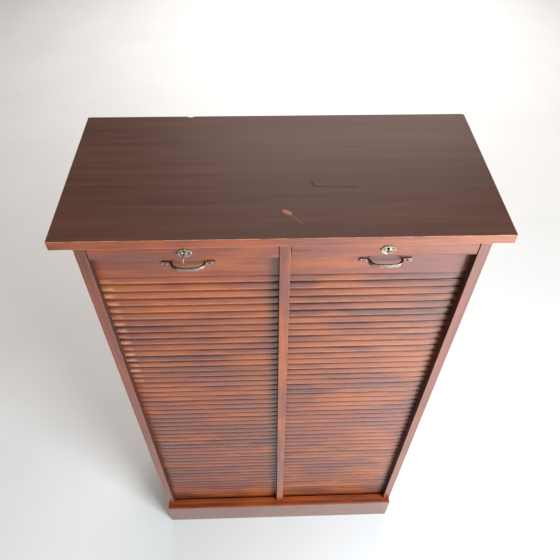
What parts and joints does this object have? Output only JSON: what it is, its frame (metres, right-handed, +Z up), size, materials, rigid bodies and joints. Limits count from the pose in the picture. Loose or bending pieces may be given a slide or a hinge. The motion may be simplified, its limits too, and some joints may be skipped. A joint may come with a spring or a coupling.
{
  "type": "double tambour filing cabinet",
  "caption": "Tall filing cabinet with paired tambour shutters that slide down in side tracks, lockable top rails, bow pulls, a flat overhanging top and a plinth.",
  "frame": {"origin": "middle of the underside of the cabinet's whole box, on the floor", "axes": "+X to the right seen from the front, +Y towards the back, +Z up"},
  "size_m": [0.82, 0.403, 1.353],
  "materials": {
    "top_stain": "dark mahogany stain, satin varnish",
    "front_stain": "mahogany stain, satin varnish",
    "side_stain": "mahogany stain, satin varnish",
    "slat_wood": "mahogany stain, satin varnish, streaked",
    "inner_wood": "thin oil finish",
    "back_wood": "thin stain, dull",
    "aged_brass": "aged, dulled",
    "bronze": "dark bronzed, worn bright at edges",
    "dark_steel": "dark, oiled"
  },
  "bodies": {
    "root": {"top_board": "top_stain", "left_side_panel": "side_stain", "right_side_panel": "side_stain", "centre_divider": "front_stain", "left_sill": "front_stain", "right_sill": "front_stain", "plinth_front": "front_stain", "left_curtain": "slat_wood", "left_curtain_turn": "slat_wood", "right_curtain": "slat_wood", "right_curtain_turn": "slat_wood", "left_glue_block": "inner_wood", "right_glue_block": "inner_wood", "left_floor_board": "inner_wood", "left_shelf_1": "inner_wood", "left_shelf_2": "inner_wood", "left_shelf_3": "inner_wood", "left_shelf_4": "inner_wood", "left_inner_back": "inner_wood", "right_floor_board": "inner_wood", "right_shelf_1": "inner_wood", "right_shelf_2": "inner_wood", "right_shelf_3": "inner_wood", "right_shelf_4": "inner_wood", "right_inner_back": "inner_wood", "dust_board": "back_wood", "back_stile_left": "back_wood", "back_stile_right": "back_wood", "back_bottom_rail": "back_wood", "back_top_rail": "back_wood", "back_muntin": "back_wood", "back_panel_left": "back_wood", "back_panel_right": "back_wood", "left_strike_plate": "aged_brass", "right_strike_plate": "aged_brass"},
    "left_shutter": {"left_lock_rail": "front_stain", "left_pull": "bronze", "left_pull_screw_1": "aged_brass", "left_pull_screw_2": "aged_brass", "left_escutcheon": "aged_brass", "left_escutcheon_pin_1": "aged_brass", "left_escutcheon_pin_2": "aged_brass", "left_lock_case": "dark_steel"},
    "right_shutter": {"right_lock_rail": "front_stain", "right_pull": "bronze", "right_pull_screw_1": "aged_brass", "right_pull_screw_2": "aged_brass", "right_escutcheon": "aged_brass", "right_escutcheon_pin_1": "aged_brass", "right_escutcheon_pin_2": "aged_brass", "right_lock_case": "dark_steel"},
    "left_key": {"left_key": "aged_brass"},
    "left_bolt": {"left_bolt": "aged_brass"},
    "right_bolt": {"right_bolt": "aged_brass"},
    "left_tail": {"left_curtain_tail": "slat_wood"},
    "right_tail": {"right_curtain_tail": "slat_wood"}
  },
  "joints": [
    {"name": "left_shutter_slide", "type": "slide", "parent": "root", "child": "left_shutter", "axis": [0, 0, -1], "range_m": [0, 1.1175], "deforming": ["left_curtain"]},
    {"name": "right_shutter_slide", "type": "slide", "parent": "root", "child": "right_shutter", "axis": [0, 0, -1], "range_m": [0, 1.1175], "deforming": ["right_curtain"]},
    {"name": "left_tail_slide", "type": "slide", "parent": "root", "child": "left_tail", "axis": [0, 0, 1], "range_m": [0, 1.1175]},
    {"name": "right_tail_slide", "type": "slide", "parent": "root", "child": "right_tail", "axis": [0, 0, 1], "range_m": [0, 1.1175]},
    {"name": "left_key_turn", "type": "hinge", "parent": "left_shutter", "child": "left_key", "pos_m": [-0.17713, -0.1755, 1.316], "axis": [0, 1, 0], "range_deg": [0, 180]},
    {"name": "left_bolt_slide", "type": "slide", "parent": "left_shutter", "child": "left_bolt", "axis": [0, 0, 1], "range_m": [0, 0.007]},
    {"name": "right_bolt_slide", "type": "slide", "parent": "right_shutter", "child": "right_bolt", "axis": [0, 0, 1], "range_m": [0, 0.007]}
  ],
  "couplings": [
    {"joint": "left_tail_slide", "follows": "left_shutter_slide", "ratio": 1},
    {"joint": "right_tail_slide", "follows": "right_shutter_slide", "ratio": 1},
    {"joint": "left_key_turn", "follows": "left_bolt_slide", "rad_per_m": 448.7}
  ]
}
